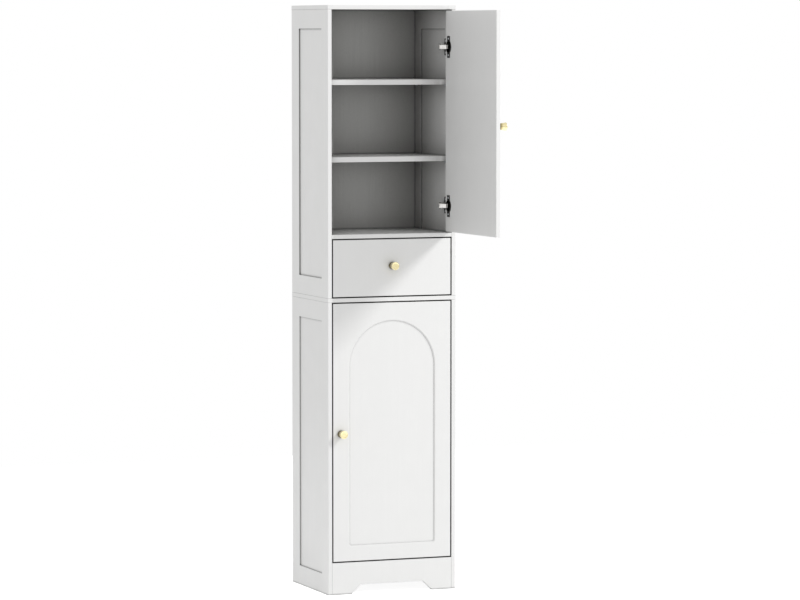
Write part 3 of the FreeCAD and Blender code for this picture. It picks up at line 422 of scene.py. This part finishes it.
def cutCross(piece, look):
    # a plus-shaped tool, a square pulled out on its four sides and narrower at its foot,
    # cuts the recess for a screwdriver into the top of the piece
    wide = look["crossWide"] * mm
    deep = look["crossDeep"] * mm
    top = look["head"][-1][1] * mm
    bpy.ops.object.select_all(action="DESELECT")
    bpy.ops.mesh.primitive_cube_add(size=wide, location=(0, 0, top))
    tool = bpy.context.object
    tool.scale = (1, 1, 2 * deep / wide)
    bpy.ops.object.transform_apply(location=True, rotation=True, scale=True)
    bpy.ops.object.mode_set(mode="EDIT")
    bpy.ops.mesh.select_mode(type="FACE")
    for axis, sign in ((0, 1), (0, -1), (1, 1), (1, -1)):
        bpy.ops.mesh.select_all(action="DESELECT")
        bpy.ops.object.mode_set(mode="OBJECT")
        for face in tool.data.polygons:
            face.select = face.normal[axis] * sign > alike and abs(face.center[axis]) < wide
        bpy.ops.object.mode_set(mode="EDIT")
        pull = [0, 0, 0]
        pull[axis] = sign * (look["crossLong"] - look["crossWide"]) / 2 * mm
        bpy.ops.mesh.extrude_region_move(TRANSFORM_OT_translate={"value": pull})
    bpy.ops.mesh.select_all(action="DESELECT")
    bpy.ops.object.mode_set(mode="OBJECT")
    for face in tool.data.polygons:
        face.select = face.normal.z < -alike
    bpy.ops.object.mode_set(mode="EDIT")
    bpy.ops.transform.resize(
        value=(crossFoot, crossFoot, 1), center_override=(0, 0, top - deep)
    )
    bpy.ops.mesh.select_all(action="SELECT")
    bpy.ops.mesh.normals_make_consistent(inside=False)
    bpy.ops.object.mode_set(mode="OBJECT")
    cut = piece.modifiers.new("cross", "BOOLEAN")
    cut.operation = "DIFFERENCE"
    cut.object = tool
    selectOnly(piece)
    bpy.ops.object.modifier_apply(modifier=cut.name)
    bpy.data.objects.remove(tool)


def smooth(piece, angle):
    selectOnly(piece)
    bpy.ops.object.shade_smooth_by_angle(angle=math.radians(angle))


def setCopies(model, name, spots):
    # copies of a piece, each with its own mesh and its place in it, joined under one name
    bpy.ops.object.select_all(action="DESELECT")
    for place, turn in spots:
        copy = model.copy()
        copy.data = model.data.copy()
        bpy.context.scene.collection.objects.link(copy)
        copy.location = [v * mm for v in place]
        copy.rotation_euler = [math.radians(a) for a in turn]
        copy.select_set(True)
        bpy.context.view_layer.objects.active = copy
    bpy.ops.object.transform_apply(location=True, rotation=True, scale=True)
    if len(spots) > 1:
        bpy.ops.object.join()
    joined = bpy.context.object
    joined.name = name
    return joined


def fitCopies(model, slotName, groups):
    # each group is a name, its spots, the body it rides and the CAD node it takes the place of;
    # the model goes once its copies are made
    for name, spots, body, *replaced in groups:
        piece = setCopies(model, name, spots)
        piece.data.materials.clear()
        piece.data.materials.append(finishes[slotName])
        if replaced:
            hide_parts(*replaced)
        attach(piece, body)
    bpy.data.objects.remove(model)


# where the doors stand: the hinge line at x, y, the upper door's angle in degrees as modelled,
# and the heights of the hinges
doors = {
    "hingeLine": (377, 0),
    "upperOpen": 91,
    "hingeLevels": {"upper": (1120, 1580), "lower": (171, 739)},
}
hingeLevels = [level for pair in doors["hingeLevels"].values() for level in pair]
# turns of a piece drawn along +Z
upwards = (0, 0, 0)
downwards = (180, 0, 0)
towardsFront = (90, 0, 0)
towardsBack = (-90, 0, 0)
towardsRight = (0, 90, 0)
towardsLeft = (0, -90, 0)


def onUpperDoor(place, turn):
    # a place and turn on the shut upper door, carried to where the door stands open
    swing = math.radians(doors["upperOpen"])
    x, y = place[0] - doors["hingeLine"][0], place[1] - doors["hingeLine"][1]
    carried = (
        doors["hingeLine"][0] + x * math.cos(swing) - y * math.sin(swing),
        doors["hingeLine"][1] + x * math.sin(swing) + y * math.cos(swing),
        place[2],
    )
    return carried, (turn[0], turn[1], turn[2] + doors["upperOpen"])


knob = {
    "sides": 96,
    # radius and distance from the door: foot, neck, flare, rolled rim, dished face
    "profile": [
        (9.2, 0), (9.9, 0.25), (10.0, 0.8), (9.9, 1.5), (9.35, 1.9), (9.15, 2.6),
        (9.2, 4.5), (9.4, 8), (9.75, 12), (10.2, 16), (10.7, 20), (11.2, 23.5),
        (11.5, 25.4), (11.7, 26.1), (11.75, 26.8), (11.6, 27.4), (11.15, 27.85), (10.5, 28),
        (9.9, 27.93), (9.5, 27.7), (8.9, 27.55), (6.5, 27.5), (4, 27.48), (2, 27.47), (0.6, 27.47),
    ],
    "places": {
        "upper_door": onUpperDoor((39, 0, 1357), towardsFront),
        "lower_door": ((39, 0, 467), towardsFront),
        "drawer": ((197.5, 0, 950), towardsFront),
    },
}
knobModel = turnPiece("knobModel", knob["profile"], knob["sides"])
markTurning(knobModel, knob["profile"])
smooth(knobModel, 40)
fitCopies(knobModel, "brass", [
    (body + "TurnedKnob", [spot], body, body + "_knob") for body, spot in knob["places"].items()
])
print("knobs made")

screw = {
    "sides": 20,
    # radius and height: point, core with its threads, neck and domed head
    "tip": [(0.12, -9), (1.1, -6.9)],
    "threads": 5, "pitch": 1.1, "core": 1.1, "crest": 1.48,
    "head": [
        (1.3, -1.2), (1.3, 0), (2.9, 0), (2.98, 0.25), (2.9, 0.6), (2.5, 1.0), (1.9, 1.26),
        (1.2, 1.36), (0.5, 1.4),
    ],
    "crossWide": 0.75, "crossLong": 3.0, "crossDeep": 0.9,
    # where the heads sit: x, y and the distance above and below the middle of the hinge
    "plate": (381.8, 44, 17),
    "cup": (358.5, 12.8, 24),
    # in the runners: x and the way the screw's head looks, then y and the height
    "caseRunners": ((13, towardsRight), (382, towardsLeft)),
    "drawerRunners": ((23.5, towardsLeft), (371.5, towardsRight)),
    "runnerPlaces": ((54, 875), (224, 875)),
}


def besideHinges(place, levels, turn):
    # a spot below and a spot above the middle of each hinge
    x, y, apart = place
    return [((x, y, level + side), turn) for level in levels for side in (-apart, apart)]


def alongRunners(runners):
    return [((x, *place), turn) for x, turn in runners for place in screw["runnerPlaces"]]


cupScrews = {
    part: besideHinges(screw["cup"], levels, towardsBack)
    for part, levels in doors["hingeLevels"].items()
}
caseScrews = besideHinges(screw["plate"], hingeLevels, towardsLeft)
caseScrews += alongRunners(screw["caseRunners"])
# each thread rises to its crest at the first of these shares of the pitch, and falls by the second
crestAt, coreAt = 0.45, 0.9
profile = list(screw["tip"])
for i in range(screw["threads"]):
    foot = screw["tip"][-1][1] + i * screw["pitch"]
    profile.append((screw["crest"], foot + crestAt * screw["pitch"]))
    profile.append((screw["core"], foot + coreAt * screw["pitch"]))
screwModel = turnPiece("screwModel", profile + screw["head"], screw["sides"])
cutCross(screwModel, screw)
smooth(screwModel, 35)
fitCopies(screwModel, "zinc_steel", [
    ("caseScrews", caseScrews, "carcass", "case_wood_screws"),
    ("drawerScrews", alongRunners(screw["drawerRunners"]), "drawer", "drawer_runner_screws"),
    ("upperCupScrews", [onUpperDoor(*spot) for spot in cupScrews["upper"]],
     "upper_door", "upper_cup_screws"),
    ("lowerCupScrews", cupScrews["lower"], "lower_door", "lower_cup_screws"),
])
print("screws made")

# the two adjusting screws of each hinge arm
adjuster = {
    "sides": 28,
    "shank": [(1.9, -5.6), (2.0, -5.2), (2.0, 0)],
    "head": [(3.3, 0), (3.4, 0.2), (3.4, 0.8), (3.2, 1.1), (2.6, 1.15), (0.5, 1.15)],
    "crossWide": 0.9, "crossLong": 3.8, "crossDeep": 0.8,
    "armFace": 372,
    "places": (46, 62),     # from the front, along the arm
}
adjusterModel = turnPiece("adjusterModel", adjuster["shank"] + adjuster["head"], adjuster["sides"])
cutCross(adjusterModel, adjuster)
smooth(adjusterModel, 35)
adjusterSpots = [
    ((adjuster["armFace"], y, level), towardsLeft)
    for level in hingeLevels for y in adjuster["places"]
]
fitCopies(adjusterModel, "zinc_steel", [("hingeAdjusters", adjusterSpots, "carcass")])
print("hinge adjusters made")

# riveted heads of the pin through the ears of each hinge arm
pinHead = {
    "sides": 32,
    "profile": [
        (2.6, -0.1), (3.1, 0), (3.2, 0.3), (3.2, 1.0), (2.8, 1.45), (1.8, 1.7), (0.5, 1.75),
    ],
    "place": (349.3, 8.5),
    "earFace": 7.25,        # above and below the middle of the hinge
}
headModel = turnPiece("headModel", pinHead["profile"], pinHead["sides"])
smooth(headModel, 35)
headSpots = [
    ((*pinHead["place"], level + side * pinHead["earFace"]), turn)
    for level in hingeLevels for side, turn in ((1, upwards), (-1, downwards))
]
fitCopies(headModel, "dark_nickel_steel", [("hingePinHeads", headSpots, "carcass")])
print("hinge pin heads made")

studio = {
    "ambient": "#FFFFFF", "ambientStrength": 0.70,
    # a tall narrow box lamp, so that upright edges throw crisp shadows and level ones soft
    "keyPlace": (4.0, -4.03, 4.135), "keyAim": (0.2, -0.05, 0.95),   # metres
    "keyWide": 0.07, "keyTall": 1.1, "keyPower": 160,
    "floorColour": "#F2F2F2", "floorSize": 7, "floorLift": 0.91,
}
toLamp = Vector(studio["keyPlace"]) - Vector(studio["keyAim"])
bpy.ops.object.light_add(type="AREA", location=studio["keyPlace"])
key = bpy.context.object
key.name = "keyLamp"
key.data.shape = "RECTANGLE"
key.data.size = studio["keyWide"]
key.data.size_y = studio["keyTall"]
key.data.energy = studio["keyPower"]
key.rotation_euler = toLamp.to_track_quat("Z", "Y").to_euler()


def seenDirectly(tree):
    # 1 for rays from the camera, and for what mirrors and glass show; 0 for light on surfaces
    rays = addNode(tree, "LightPath")
    mirrored = addNode(
        tree, "Math",
        {0: rays.outputs["Is Camera Ray"], 1: rays.outputs["Is Glossy Ray"]}, operation="ADD",
    )
    return addNode(
        tree, "Math", {0: mirrored, 1: rays.outputs["Is Transmission Ray"]},
        operation="ADD", use_clamp=True,
    )


# a white background, and the even light of the studio on every surface
world = bpy.data.worlds.new("studio")
bpy.context.scene.world = world
world.use_nodes = True
tree = world.node_tree
tree.nodes.clear()
light = addNode(
    tree, "Background",
    {"Color": toLinear(studio["ambient"]), "Strength": studio["ambientStrength"]},
)
white = addNode(tree, "Background", {"Color": toLinear("#FFFFFF"), "Strength": 1.0})
shown = addNode(tree, "MixShader", {0: seenDirectly(tree), 1: light, 2: white})
addNode(tree, "OutputWorld", {"Surface": shown})

# a pale floor, lifted for the camera: its lit part turns white, and the lift is so strong
# that little of the shadow is left to see
bpy.ops.object.select_all(action="DESELECT")
bpy.ops.mesh.primitive_plane_add(size=studio["floorSize"], location=(0, 0, 0))
floor = bpy.context.object
floor.name = "studioFloor"
paint, tree = startMaterial({"name": "paintedStudioFloor"})
matt = addNode(tree, "BsdfDiffuse", {"Color": toLinear(studio["floorColour"])})
lift = addNode(
    tree, "Math", {0: seenDirectly(tree), 1: studio["floorLift"]}, operation="MULTIPLY"
)
glow = addNode(tree, "Emission", {"Color": toLinear("#FFFFFF"), "Strength": lift})
both = addNode(tree, "AddShader", {0: matt, 1: glow})
addNode(tree, "OutputMaterial", {"Surface": both})
floor.data.materials.append(paint)

bpy.context.scene.view_settings.view_transform = "Standard"
print("studio made")
